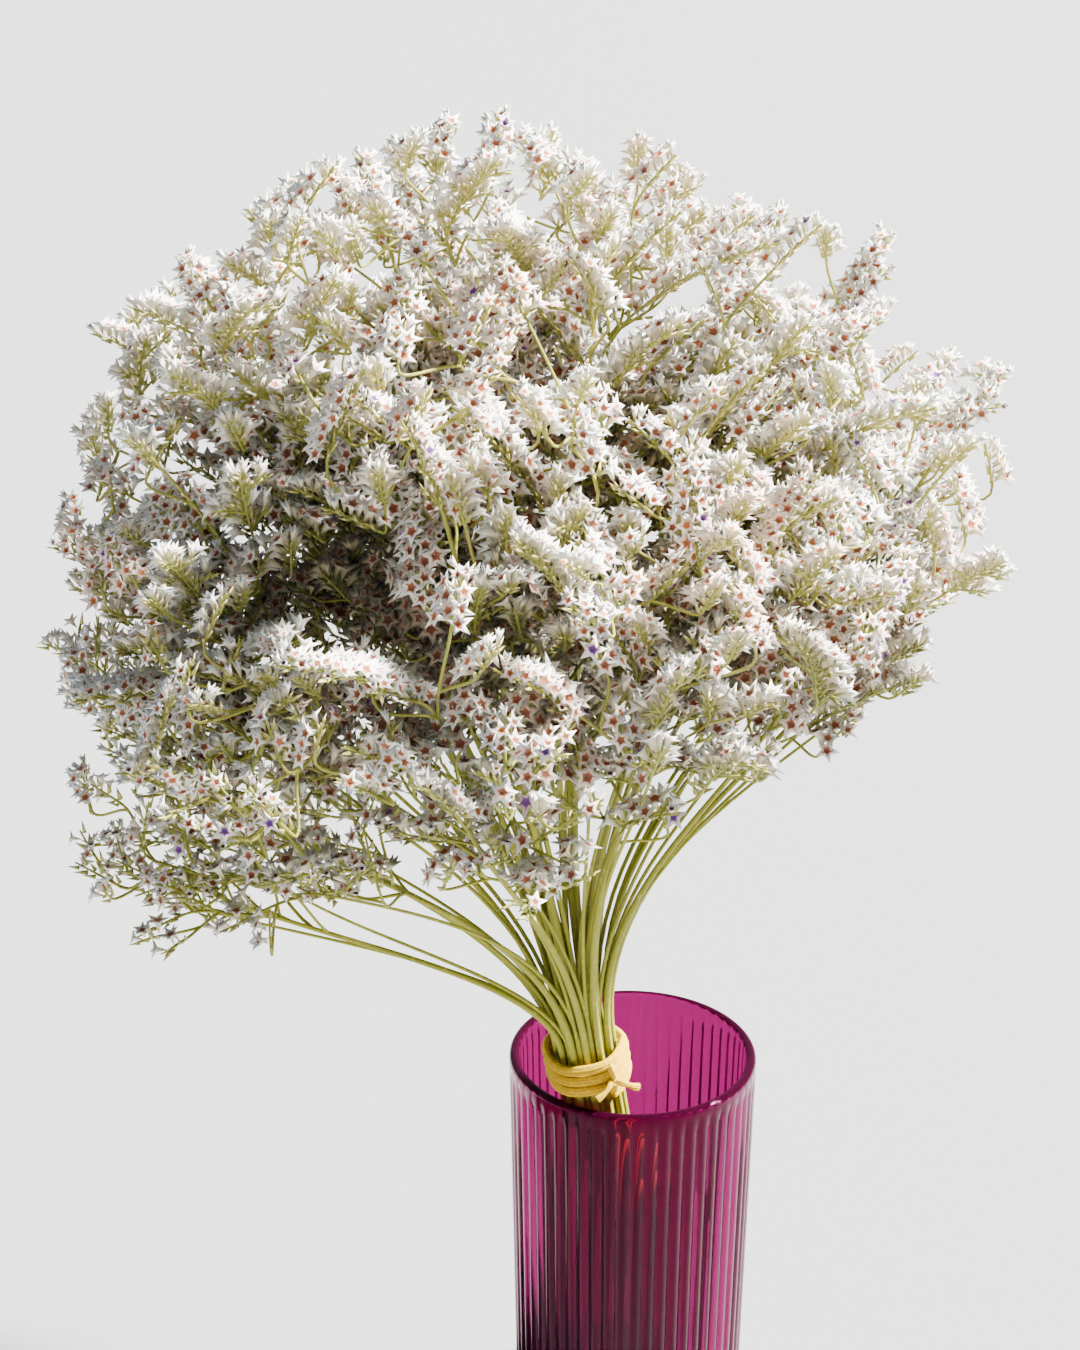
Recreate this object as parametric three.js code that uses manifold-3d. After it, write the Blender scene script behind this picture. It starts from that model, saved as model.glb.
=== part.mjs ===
// Dried German statice in a ribbed glass vase, built the way the real bunch is: cut stems bound by a
// tie, standing in the glass and leaning on its rim. Each stem is one spray, with its branches and its
// spikes of star-shaped florets grown together. Millimetres, +Z up, origin at the middle of the vase's
// foot, -Y towards the viewer.
import * as THREE from "three";
import { mergeVertices } from "three/addons/utils/BufferGeometryUtils.js";
import Module from "manifold-3d";

const wasm = await Module();
wasm.setup();

const GOLDEN_ANGLE = Math.PI * (3 - Math.sqrt(5));
const CLEARANCE = 0.3; // between pieces that touch
const WELD = 1e-3; // points closer than this are one

const VASE = {
  height: 130,
  rimRadius: 36,
  footRadius: 34,
  footBevel: 1.4,
  rimBevel: 0.7,
  ribs: 56,
  ribDepth: 0.8,
  lip: 3.5,
  wall: 3,
  floor: 9,
  heel: 3,
  heelHeight: 4,
  insideColumns: 32,
};

// The bound stems lean on the rim on the viewer's left. rimOffset is how far their middle is from the
// vase's axis at rim height.
const BUNDLE = { bearing: 237, lean: 14, rimOffset: 22.9, footSpread: 1.3 };
const STEM = {
  sides: 4,
  footRadius: 1.4,
  tipRadius: 0.95,
  footRise: 0.5,
  crownSteps: 6,
  rise: 0.5,
  arrive: 0.35,
  endPitches: 2.8,
};
// Where the stems lie in the bundle. The turns bring each stem to the side its spray leans to.
const RINGS = { inner: 3.9, outer: 8, innerTurn: 12, outerTurn: -28 };
const TIE = { height: 15, turns: 3, thickness: 1.2, bulge: 0.8, edge: 0.08, columns: 18 };
const KNOT = { radius: 3.4, turn: -0.95, height: 0.5, scale: [1.15, 0.75, 1], columns: 7, rows: 5 };

// Bearing from +X towards +Y and lean from upright, in degrees, and how far the spray reaches from
// the top of the tie.
const OUTER_SPRAYS = [
  { bearing: 352, lean: 27, reach: 162 },
  { bearing: 13, lean: 35, reach: 184 },
  { bearing: 24, lean: 34, reach: 230 },
  { bearing: 60, lean: 34, reach: 198 },
  { bearing: 98, lean: 34, reach: 186 },
  { bearing: 134, lean: 33, reach: 205 },
  { bearing: 160, lean: 31, reach: 238 },
  { bearing: 184, lean: 41, reach: 212 },
  { bearing: 187, lean: 50, reach: 174 },
  { bearing: 192, lean: 61, reach: 150 },
  { bearing: 213, lean: 46, reach: 178 },
  { bearing: 246, lean: 37, reach: 158 },
  { bearing: 284, lean: 27, reach: 168 },
];
const INNER_SPRAYS = [
  { bearing: 22, lean: 20, reach: 246 },
  { bearing: 82, lean: 13, reach: 246 },
  { bearing: 142, lean: 17, reach: 260 },
  { bearing: 170, lean: 25, reach: 246 },
  { bearing: 236, lean: 20, reach: 218 },
  { bearing: 318, lean: 20, reach: 200 },
];

// The crown of heads. Heads are tried all over a dome and kept within spread of a spray and not more
// than droop below it, both in radians. Most lie near the crown's surface; the rest are further in,
// but none nearer than bare to the crown's foot, where the stems fan out.
const CROWN = {
  seed: 34,
  tries: 2400,
  edge: 82,
  spread: 0.25,
  droop: 0.06,
  bare: 110,
  fullest: 250,
  blend: 0.16,
  depth: 0.1,
  innerShare: 0.25,
  innerDepth: 0.34,
  longShare: 0.4,
  smallest: 0.9,
  sizeRange: 0.2,
  spacing: 11,
  overlap: 4,
};
// The shares of each direction in the way a head points, and how far it faces up.
const POINTING = { sideways: 0.7, outward: 0.25, outwardRange: 0.6, away: 0.25, upward: 0.35, facing: 0.5 };
// A head that has no room is tried again, turned, raised and drawn in a little more each time.
const RETRY = { most: 7, turn: 1.1, rise: 0.15, inward: 5 };
// Twigs leave their branch at an open angle and arrive along their head.
const TWIG = {
  halfWidth: 0.85,
  topShare: 0.5,
  root: 0.55,
  angle: 0.75,
  widest: 1.25,
  anglePrice: 60,
  shortest: 7,
  longest: 30,
  leave: 0.22,
  sweep: 0.1,
  arrive: 0.3,
};
// The head that ends each stem faces up and a little towards the viewer.
const END = { stars: 2, facing: [0, -0.3, 1], twig: 3 };
// Places on the branches that twigs can leave from.
const NODES = { ofStem: 28, bareStem: 7, ofTwig: 6 };

// A head is a spike with a row of open florets on its upper side.
const HEAD = {
  pitch: 13.6,
  halfWidth: 1.7,
  keel: 1.3,
  ridge: 0.6,
  endTaper: 0.55,
  bend: 0.01,
  lastStar: 0.88,
};
const STAR = { points: 5, tip: 9, notch: 5.2, height: 5.4, tilt: 0.2, tipLift: 0.5, dip: 2.4 };
// Rows of balls stand for stems, twigs and heads while the sprays are kept apart.
const BALL = { stem: 1.8, stemStep: 5, twig: 1.2, twigStep: 4, head: 8.6, headStep: 5, headLift: 3 };
const COLOURS = { glass: 0x9c2a72, tie: 0xe8d27c, statice: 0xdcd8cc };

// Seeded random numbers between 0 and 1.
function randomFrom(seed) {
  let state = seed;
  return () => {
    state = (state * 1664525 + 1013904223) % 4294967296;
    return state / 4294967296;
  };
}

const radians = THREE.MathUtils.degToRad;
const up = new THREE.Vector3(0, 0, 1);

function aim(bearing, lean) {
  return new THREE.Vector3(
    Math.sin(lean) * Math.cos(bearing),
    Math.sin(lean) * Math.sin(bearing),
    Math.cos(lean),
  );
}

// A unit vector square to axis, on the side of v.
function squared(v, axis) {
  return v.clone().addScaledVector(axis, -v.dot(axis)).normalize();
}

// The bundle's own frame: its axis, two directions across it and its middle at rim height.
const axis = aim(radians(BUNDLE.bearing), radians(BUNDLE.lean));
const across = squared(new THREE.Vector3(1, 0, 0), axis);
const aside = new THREE.Vector3().crossVectors(axis, across);
const rimMiddle = aim(radians(BUNDLE.bearing), Math.PI / 2)
  .multiplyScalar(BUNDLE.rimOffset)
  .setZ(VASE.height);

function alongBundle(distance) {
  return rimMiddle.clone().addScaledVector(axis, distance);
}

const tieInner = RINGS.outer + STEM.footRadius + CLEARANCE;
const tieOuter = tieInner + TIE.thickness + TIE.bulge;
const leanAngle = radians(BUNDLE.lean);
// The tie's lowest edge rests on the rim.
const tieMiddle = CLEARANCE / Math.cos(leanAngle) + tieOuter * Math.tan(leanAngle) + TIE.height / 2;
const tieTop = tieMiddle + TIE.height / 2;
const crownFoot = alongBundle(tieTop);
const footHeight = VASE.floor + CLEARANCE + STEM.footRise;
const footDistance = -(VASE.height - footHeight) / Math.cos(leanAngle);

function solidOf(geometry) {
  const bare = new THREE.BufferGeometry().setAttribute("position", geometry.getAttribute("position"));
  bare.setIndex(geometry.index);
  const merged = mergeVertices(bare, WELD);
  return new wasm.Manifold(
    new wasm.Mesh({
      numProp: 3,
      vertProperties: new Float32Array(merged.attributes.position.array),
      triVerts: new Uint32Array(merged.index.array),
    }),
  );
}

function geometryOf(solid) {
  const mesh = solid.getMesh();
  const positions = new Float32Array(mesh.numVert * 3);
  for (let i = 0; i < mesh.numVert; i += 1) {
    positions.set(mesh.vertProperties.subarray(i * mesh.numProp, i * mesh.numProp + 3), i * 3);
  }
  return new THREE.BufferGeometry()
    .setAttribute("position", new THREE.BufferAttribute(positions, 3))
    .setIndex(new THREE.BufferAttribute(mesh.triVerts, 1));
}

function lathe(profile, columns) {
  const points = profile.map(([radius, z]) => new THREE.Vector2(radius, z));
  return new THREE.LatheGeometry(points, columns).rotateX(Math.PI / 2);
}

// The glass: outside with upright ribs below a plain lip, inside smooth, with a thick floor.
function vaseGeometry() {
  const ribTop = VASE.height - VASE.lip;
  const outer = lathe(
    [
      [0, 0],
      [VASE.footRadius - VASE.footBevel, 0],
      [VASE.footRadius, VASE.footBevel],
      [VASE.rimRadius, ribTop],
      [VASE.rimRadius - VASE.rimBevel, VASE.height],
      [0, VASE.height],
    ],
    VASE.ribs * 2,
  );
  const place = outer.getAttribute("position");
  for (let i = 0; i < place.count; i += 1) {
    const radius = Math.hypot(place.getX(i), place.getY(i));
    const column = Math.round((Math.atan2(place.getY(i), place.getX(i)) / Math.PI) * VASE.ribs);
    const ribbed = place.getZ(i) > 0 && place.getZ(i) < VASE.height - 0.01;
    if (ribbed && column % 2 !== 0) {
      const shrink = 1 - VASE.ribDepth / radius;
      place.setXY(i, place.getX(i) * shrink, place.getY(i) * shrink);
    }
  }
  const innerFoot = VASE.footRadius - VASE.wall;
  const innerRim = VASE.rimRadius - VASE.wall;
  const inner = lathe(
    [
      [0, VASE.floor],
      [innerFoot - VASE.heel, VASE.floor],
      [innerFoot, VASE.floor + VASE.heelHeight],
      [innerRim, VASE.height + 1],
      [0, VASE.height + 1],
    ],
    VASE.insideColumns,
  );
  return geometryOf(solidOf(outer).subtract(solidOf(inner)));
}

// The tie: a few turns wound round the stems, with a knot towards the viewer.
function tieGeometry() {
  const low = -TIE.height / 2;
  const turn = TIE.height / TIE.turns;
  const profile = [[tieInner, low]];
  for (let i = 0; i < TIE.turns; i += 1) {
    profile.push([tieInner + TIE.thickness, low + (i + TIE.edge) * turn]);
    profile.push([tieOuter, low + (i + 0.5) * turn]);
  }
  profile.push([tieInner + TIE.thickness, -low], [tieInner, -low], [tieInner, low]);
  const band = solidOf(lathe(profile, TIE.columns));
  const knot = new THREE.SphereGeometry(KNOT.radius, KNOT.columns, KNOT.rows).scale(...KNOT.scale);
  knot.translate(tieOuter * Math.cos(KNOT.turn), tieOuter * Math.sin(KNOT.turn), KNOT.height);
  const hole = new THREE.CylinderGeometry(tieInner, tieInner, TIE.height * 2, TIE.columns)
    .rotateX(Math.PI / 2)
    .rotateZ(Math.PI / 2);
  const solid = band.add(solidOf(knot).subtract(solidOf(hole)));
  const frame = new THREE.Matrix4().makeBasis(across, aside, axis).setPosition(alongBundle(tieMiddle));
  return geometryOf(solid.transform(frame.elements));
}

// A tapered stem through the given points: a cylinder whose rings are carried along the curve.
function stemGeometry(points, rootRadius, tipRadius, sides) {
  const steps = points.length - 1;
  const tube = new THREE.CylinderGeometry(tipRadius, rootRadius, steps, sides, steps);
  const tangents = points.map((point, i) => {
    const before = points[Math.max(i - 1, 0)];
    const after = points[Math.min(i + 1, steps)];
    return after.clone().sub(before).normalize();
  });
  let side = new THREE.Vector3(1, 0, 0);
  const frames = tangents.map((tangent) => {
    side = squared(side, tangent);
    return { side, back: new THREE.Vector3().crossVectors(side, tangent) };
  });
  const place = tube.getAttribute("position");
  for (let i = 0; i < place.count; i += 1) {
    const station = Math.round(place.getY(i) + steps / 2);
    const { side: u, back: v } = frames[station];
    const moved = points[station].clone();
    moved.addScaledVector(u, place.getX(i)).addScaledVector(v, place.getZ(i));
    place.setXYZ(i, moved.x, moved.y, moved.z);
  }
  return tube;
}

// A spike on its twig: a three-sided core whose upper side opens into a row of star-shaped florets.
function headGeometry(head) {
  const positions = [];
  const faces = [];
  const side = new THREE.Vector3().crossVectors(head.facing, head.along);
  // The spike bends away from its florets.
  const curl = 1 / HEAD.bend;
  const putAt = (point) => positions.push(...point.toArray()) / 3 - 1;
  const put = (x, y, z) => {
    const turn = x * HEAD.bend;
    return putAt(
      head.base
        .clone()
        .addScaledVector(head.along, (curl + z) * Math.sin(turn))
        .addScaledVector(side, y)
        .addScaledVector(head.facing, (curl + z) * Math.cos(turn) - curl),
    );
  };
  const rings = head.twig.map((point, i) => {
    const heading = (head.twig[i + 1] ?? head.base).clone().sub(point);
    const halfWidth = TWIG.halfWidth * (i === 0 ? TWIG.root : 1);
    const u = squared(side, heading.normalize()).multiplyScalar(halfWidth);
    const v = new THREE.Vector3().crossVectors(heading, u);
    return {
      left: putAt(point.clone().add(u).addScaledVector(v, TWIG.topShare)),
      right: putAt(point.clone().sub(u).addScaledVector(v, TWIG.topShare)),
      keel: putAt(point.clone().sub(v)),
    };
  });
  const twigSteps = rings.length;
  const pitch = HEAD.pitch * head.size;
  for (let i = 0; i <= head.stars; i += 1) {
    const taper = i === head.stars ? HEAD.endTaper : 1;
    rings.push({
      left: put(i * pitch, HEAD.halfWidth * taper, HEAD.ridge * taper),
      right: put(i * pitch, -HEAD.halfWidth * taper, HEAD.ridge * taper),
      keel: put(i * pitch, 0, -HEAD.keel * taper),
    });
  }
  const last = rings[rings.length - 1];
  faces.push([rings[0].left, rings[0].keel, rings[0].right]);
  faces.push([last.left, last.right, last.keel]);
  for (let i = 0; i < rings.length - 1; i += 1) {
    const a = rings[i];
    const b = rings[i + 1];
    faces.push([a.left, b.keel, a.keel], [a.left, b.left, b.keel]);
    faces.push([a.right, b.keel, b.right], [a.right, a.keel, b.keel]);
    if (i < twigSteps) {
      faces.push([a.left, a.right, b.right], [a.left, b.right, b.left]);
      continue;
    }
    const star = i - twigSteps;
    const middle = (star + 0.5) * pitch;
    const size = head.size * (star === head.stars - 1 ? HEAD.lastStar : 1);
    const outline = [];
    for (let j = 0; j < STAR.points * 2; j += 1) {
      const angle = (j * Math.PI) / STAR.points;
      const isTip = j % 2 === 0;
      const radius = (isTip ? STAR.tip : STAR.notch) * size;
      const ahead = radius * Math.cos(angle);
      const lift = (STAR.height + (isTip ? STAR.tipLift : 0)) * size + ahead * STAR.tilt;
      outline.push(put(middle + ahead, radius * Math.sin(angle), HEAD.ridge + lift));
    }
    // The floret's underside runs from the core's four corners to its ten outline points.
    const corners = [b.left, a.left, a.right, b.right];
    const nearest = [0, 0, 0, 1, 1, 1, 2, 2, 3, 3];
    const centre = put(middle, 0, HEAD.ridge + (STAR.height - STAR.dip) * size);
    for (let j = 0; j < outline.length; j += 1) {
      const next = (j + 1) % outline.length;
      const corner = nearest[j];
      faces.push([outline[j], corners[corner], outline[next]], [outline[j], outline[next], centre]);
      if (nearest[next] !== corner) {
        faces.push([corners[corner], corners[nearest[next]], outline[next]]);
      }
    }
  }
  return new THREE.BufferGeometry()
    .setAttribute("position", new THREE.BufferAttribute(new Float32Array(positions), 3))
    .setIndex(faces.flat());
}

// The stems, from the vase's floor through the tie to the tip of each spray.
function plantStems() {
  const stems = [];
  const plant = (sprays, ringRadius, turn) => {
    sprays.forEach((spray, i) => {
      const angle = turn + (i * 2 * Math.PI) / sprays.length;
      const offset = across
        .clone()
        .multiplyScalar(Math.cos(angle) * ringRadius)
        .addScaledVector(aside, Math.sin(angle) * ringRadius);
      const foot = alongBundle(footDistance).addScaledVector(offset, BUNDLE.footSpread);
      foot.z = footHeight;
      const collar = crownFoot.clone().add(offset);
      const outward = aim(radians(spray.bearing), radians(spray.lean));
      const length = spray.reach - HEAD.pitch * STEM.endPitches;
      const tip = crownFoot.clone().addScaledVector(outward, length);
      const rise = collar.clone().addScaledVector(axis, length * STEM.rise * outward.z);
      const arrive = tip.clone().addScaledVector(outward, -length * STEM.arrive);
      const curve = new THREE.CubicBezierCurve3(collar, rise, arrive, tip);
      stems.push({ outward, reach: spray.reach, curve, foot, crown: curve.getPoints(STEM.crownSteps) });
    });
  };
  plant(OUTER_SPRAYS, RINGS.outer, radians(RINGS.outerTurn));
  plant(INNER_SPRAYS, RINGS.inner, radians(RINGS.innerTurn));
  return stems;
}

function lengthOf(head) {
  return head.stars * head.size * HEAD.pitch;
}

function ballsAlong(points, radius, spray, step) {
  const balls = [];
  for (let i = 1; i < points.length; i += 1) {
    const count = Math.max(1, Math.ceil(points[i].distanceTo(points[i - 1]) / step));
    for (let j = 0; j < count; j += 1) {
      balls.push({ middle: points[i - 1].clone().lerp(points[i], j / count), radius, spray });
    }
  }
  balls.push({ middle: points[points.length - 1], radius, spray });
  return balls;
}

function ballsOfHead(head) {
  const start = head.base.clone().addScaledVector(head.facing, BALL.headLift);
  const end = start.clone().addScaledVector(head.along, lengthOf(head));
  return ballsAlong([start, end], BALL.head, head.spray, BALL.headStep);
}

function ballsOfTwig(head) {
  return ballsAlong([...head.twig, head.base], BALL.twig, head.spray, BALL.twigStep);
}

// How far balls stay clear of others, less than zero where they meet.
function roomAround(balls, others) {
  let room = Infinity;
  balls.forEach((ball) => {
    others.forEach((other) => {
      room = Math.min(room, ball.middle.distanceTo(other.middle) - ball.radius - other.radius);
    });
  });
  return room;
}

// The twig's curve from the branch that is nearest and leaves at the best angle.
function twigTo(base, along, nodes) {
  let best = null;
  nodes.forEach((node) => {
    const reachOut = base.clone().sub(node.point);
    const distance = reachOut.length();
    const angle = reachOut.angleTo(node.heading);
    const cost = distance + TWIG.anglePrice * Math.abs(angle - TWIG.angle);
    if (distance > TWIG.shortest && angle < TWIG.widest && (!best || cost < best.cost)) {
      best = { cost, node, distance };
    }
  });
  if (!best) return null;
  const { node, distance } = best;
  const leave = node.point.clone().lerp(base, TWIG.leave);
  leave.addScaledVector(node.heading, distance * TWIG.sweep);
  const arrive = base.clone().addScaledVector(along, -distance * TWIG.arrive);
  return new THREE.CubicBezierCurve3(node.point, leave, arrive, base);
}

function twigPoints(curve) {
  const distance = curve.v0.distanceTo(curve.v3);
  return curve.getPoints(distance > TWIG.longest ? 3 : 2).slice(0, -1);
}

function branchNodes(curve, count) {
  const points = curve.getPoints(count);
  return points.slice(1).map((point, i) => ({ point, heading: point.clone().sub(points[i]).normalize() }));
}

// How far the crown reaches in a direction: the reach of the sprays, blended by how near they are.
function crownReach(outward, stems) {
  let total = 0;
  let weights = 0;
  stems.forEach((stem) => {
    const weight = Math.exp(-((outward.angleTo(stem.outward) / CROWN.blend) ** 2));
    total += weight * stem.reach;
    weights += weight;
  });
  return total / weights;
}

// Grows every spray's heads over the dome, and keeps sprays out of each other.
function growCrown(stems) {
  const random = randomFrom(CROWN.seed);
  const held = stems.flatMap((stem, spray) => ballsAlong(stem.crown, BALL.stem, spray, BALL.stemStep));
  const sprays = stems.map((stem) => ({
    heads: [],
    nodes: branchNodes(stem.curve, NODES.ofStem).slice(NODES.bareStem),
  }));
  stems.forEach((stem, spray) => {
    const head = endHead(stem, spray);
    sprays[spray].heads.push(head);
    held.push(...ballsOfHead(head));
  });
  for (let k = 0; k < CROWN.tries; k += 1) {
    const lean = Math.acos(1 - ((k + 0.5) / CROWN.tries) * (1 - Math.cos(radians(CROWN.edge))));
    const outward = aim(k * GOLDEN_ANGLE, lean);
    let spray = 0;
    stems.forEach((stem, i) => {
      if (outward.angleTo(stem.outward) < outward.angleTo(stems[spray].outward)) spray = i;
    });
    const surface = crownReach(outward, stems);
    const inner = random() < CROWN.innerShare;
    const sunk = (inner ? CROWN.innerDepth : CROWN.depth) * random();
    const kept = random() < (surface / CROWN.fullest) ** 2;
    if (!kept || outward.angleTo(stems[spray].outward) > CROWN.spread) continue;
    const wish = {
      spray,
      outward,
      away: squared(outward.clone().sub(stems[spray].outward), outward),
      full: surface * (1 - sunk),
      turn: 2 * Math.PI * random(),
      stars: random() < CROWN.longShare ? 3 : 2,
      size: CROWN.smallest + CROWN.sizeRange * random(),
      rise: POINTING.outward + POINTING.outwardRange * random(),
    };
    const { heads, nodes } = sprays[spray];
    for (let tries = 0; tries < RETRY.most; tries += 1) {
      const head = headFor(wish, tries, nodes);
      if (!head || hangsLow(head, stems[spray]) || !hasRoom(head, heads, held)) continue;
      heads.push(head);
      nodes.push(...branchNodes(head.curve, NODES.ofTwig).slice(1, -1));
      held.push(...ballsOfHead(head), ...ballsOfTwig(head));
      break;
    }
  }
  return sprays;
}

// The head that ends a stem.
function endHead(stem, spray) {
  const end = stem.crown[stem.crown.length - 1];
  const along = end.clone().sub(stem.crown[stem.crown.length - 2]).normalize();
  const facing = squared(new THREE.Vector3(...END.facing), along);
  const twig = [end.clone().addScaledVector(along, -END.twig)];
  return { spray, twig, base: end, along, facing, stars: END.stars, size: 1 };
}

// A head as wished for, moved a little further at each try, on a twig of its own.
function headFor(wish, tries, nodes) {
  const { spray, outward, stars, size } = wish;
  const way = wish.turn + RETRY.turn * tries;
  const along = squared(new THREE.Vector3(Math.cos(way), Math.sin(way), 0), outward)
    .multiplyScalar(POINTING.sideways)
    .addScaledVector(outward, wish.rise + RETRY.rise * tries)
    .addScaledVector(wish.away, POINTING.away)
    .addScaledVector(up, POINTING.upward)
    .normalize();
  const facing = squared(outward.clone().addScaledVector(up, POINTING.facing), along);
  const length = stars * size * HEAD.pitch;
  const climb = along.dot(outward);
  const base = crownFoot
    .clone()
    .addScaledVector(outward, wish.full - length * climb - RETRY.inward * tries)
    .addScaledVector(along, (-length * (1 - climb)) / 2);
  const curve = twigTo(base, along, nodes);
  return curve && { spray, curve, twig: twigPoints(curve), base, along, facing, stars, size };
}

function hangsLow(head, stem) {
  const middle = middleOf(head).sub(crownFoot);
  const droop = middle.angleTo(up) - stem.outward.angleTo(up);
  return droop > CROWN.droop || middle.length() < CROWN.bare;
}

function hasRoom(head, own, held) {
  const balls = ballsOfHead(head);
  const others = held.filter((ball) => ball.spray !== head.spray);
  return (
    own.every((other) => middleOf(other).distanceTo(middleOf(head)) > CROWN.spacing) &&
    roomAround([...balls, ...ballsOfTwig(head)], others) > CLEARANCE &&
    roomAround(balls, own.flatMap(ballsOfHead)) > -CROWN.overlap
  );
}

function middleOf(head) {
  return head.base
    .clone()
    .addScaledVector(head.along, lengthOf(head) / 2)
    .addScaledVector(head.facing, STAR.height / 2);
}

function sprayGeometry(stem, spray) {
  const points = [stem.foot, ...stem.crown];
  let solid = solidOf(stemGeometry(points, STEM.footRadius, STEM.tipRadius, STEM.sides));
  spray.heads.forEach((head) => {
    solid = solid.add(solidOf(headGeometry(head)));
  });
  return geometryOf(solid);
}

function piece(name, geometry, colour, roughness) {
  const mesh = new THREE.Mesh(
    geometry,
    new THREE.MeshStandardMaterial({ color: colour, roughness, metalness: 0 }),
  );
  mesh.name = name;
  return mesh;
}

const bunch = new THREE.Group();
bunch.add(piece("vase", vaseGeometry(), COLOURS.glass, 0.1));
bunch.add(piece("tie", tieGeometry(), COLOURS.tie, 0.7));
const stems = plantStems();
growCrown(stems).forEach((spray, i) => {
  const name = `spray_${String(i + 1).padStart(2, "0")}`;
  bunch.add(piece(name, sprayGeometry(stems[i], spray), COLOURS.statice, 0.85));
});

export default bunch;
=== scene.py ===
import math
from types import SimpleNamespace as Values

import bpy
import numpy as np
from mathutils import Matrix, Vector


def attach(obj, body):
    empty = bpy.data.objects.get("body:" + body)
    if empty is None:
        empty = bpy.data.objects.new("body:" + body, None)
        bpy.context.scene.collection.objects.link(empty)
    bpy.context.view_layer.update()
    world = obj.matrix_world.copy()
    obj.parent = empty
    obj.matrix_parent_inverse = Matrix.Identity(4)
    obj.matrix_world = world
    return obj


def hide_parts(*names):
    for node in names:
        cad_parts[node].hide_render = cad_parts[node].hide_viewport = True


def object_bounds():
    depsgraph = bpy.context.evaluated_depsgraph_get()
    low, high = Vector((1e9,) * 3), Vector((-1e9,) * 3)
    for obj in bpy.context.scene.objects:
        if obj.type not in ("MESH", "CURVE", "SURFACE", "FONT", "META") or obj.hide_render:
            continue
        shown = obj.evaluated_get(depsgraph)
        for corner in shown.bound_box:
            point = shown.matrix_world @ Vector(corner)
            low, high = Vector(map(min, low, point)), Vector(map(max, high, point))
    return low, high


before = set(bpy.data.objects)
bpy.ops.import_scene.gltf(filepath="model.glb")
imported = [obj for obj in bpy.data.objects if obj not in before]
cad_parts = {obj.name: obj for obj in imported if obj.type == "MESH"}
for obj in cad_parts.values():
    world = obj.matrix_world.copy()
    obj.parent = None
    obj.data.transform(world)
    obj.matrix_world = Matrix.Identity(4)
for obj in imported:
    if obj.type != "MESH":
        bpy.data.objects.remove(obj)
solid_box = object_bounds()

MM = 0.001
# How near two modelled places have to be, in millimetres, to count as the same one.
NEAR = 0.1
GOLDEN_ANGLE = math.pi * (3 - math.sqrt(5))

# The camera stands where the photographer's did, in millimetres, and looks down by some degrees.
CAMERA = Values(place=(-27, -570, 472.5), down=21.54, lens=60, sensor=36)

# The driving sizes of the solids, in millimetres.
VASE = Values(
    height=130,
    rim_radius=36,
    foot_radius=34,
    foot_bevel=1.4,
    ribs=56,
    rib_depth=0.8,
    lip=3.5,
    wall=3,
    floor=9,
    heel=3,
    heel_height=4,
)
CLEARANCE = 0.3
BUNDLE = Values(bearing=237, lean=14, rim_offset=22.9, foot_spread=1.3)
STEM = Values(
    foot_radius=1.4,
    tip_radius=0.95,
    foot_rise=0.5,
    crown_steps=6,
    rise=0.5,
    arrive=0.35,
    end_pitches=2.8,
)
RINGS = Values(inner=3.9, outer=8, inner_turn=12, outer_turn=-28)
TIE = Values(height=15, thickness=1.2, bulge=0.8)
KNOT = Values(turn=-0.95, height=0.5, stand=0.2)

# Bearing, lean in degrees and reach of each spray.
OUTER_SPRAYS = [
    (352, 27, 162),
    (13, 35, 184),
    (24, 34, 230),
    (60, 34, 198),
    (98, 34, 186),
    (134, 33, 205),
    (160, 31, 238),
    (184, 41, 212),
    (187, 50, 174),
    (192, 61, 150),
    (213, 46, 178),
    (246, 37, 158),
    (284, 27, 168),
]
INNER_SPRAYS = [
    (22, 20, 246),
    (82, 13, 246),
    (142, 17, 260),
    (170, 25, 246),
    (236, 20, 218),
    (318, 20, 200),
]
CROWN = Values(
    seed=34,
    tries=2400,
    edge=82,
    spread=0.25,
    droop=0.06,
    bare=110,
    fullest=250,
    blend=0.16,
    depth=0.1,
    inner_share=0.25,
    inner_depth=0.34,
    long_share=0.4,
    smallest=0.9,
    size_range=0.2,
    spacing=11,
    overlap=4,
)
POINTING = Values(
    sideways=0.7,
    outward=0.25,
    outward_range=0.6,
    away=0.25,
    upward=0.35,
    facing=0.5,
)
RETRY = Values(most=7, turn=1.1, rise=0.15, inward=5)
TWIG = Values(angle=0.75, widest=1.25, angle_price=60, shortest=7, longest=30)
TWIG_CURVE = Values(leave=0.22, sweep=0.1, arrive=0.3)
NODES = Values(of_stem=28, bare_stem=7, of_twig=6)
HEAD = Values(pitch=13.6, bend=0.01, star_height=5.4, stars=2, long_stars=3)
BALL = Values(
    stem=1.8,
    stem_step=5,
    twig=1.2,
    twig_step=4,
    head=8.6,
    head_step=5,
    head_lift=3,
)
UP = np.array([0.0, 0.0, 1.0])
TIP_FACING = np.array([0, -0.3, 1])


def seeded(seed):
    """Random numbers between 0 and 1, the same in every run."""
    state = seed
    while True:
        state = (state * 1664525 + 1013904223) % 4294967296
        yield state / 4294967296


def either_way(random):
    """1 or -1, by chance."""
    return 1 if next(random) < 0.5 else -1


def uneven(step, random):
    """The step, made up to a fifth longer or shorter."""
    return step * (0.8 + 0.4 * next(random))


def length_of(v):
    return math.sqrt(v @ v)


def unit(v):
    return v / length_of(v)


def squared(v, axis):
    """A unit vector square to axis, on the side of v."""
    return unit(v - axis * (v @ axis))


def aim(bearing, lean):
    flat = math.sin(lean)
    return np.array([flat * math.cos(bearing), flat * math.sin(bearing), math.cos(lean)])


def between(a, b, angle):
    """The way at this angle from a towards b, for two unit vectors square to each other."""
    return a * math.cos(angle) + b * math.sin(angle)


def angle_between(a, b):
    return math.acos(max(-1.0, min(1.0, (a @ b) / math.sqrt((a @ a) * (b @ b)))))


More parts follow.
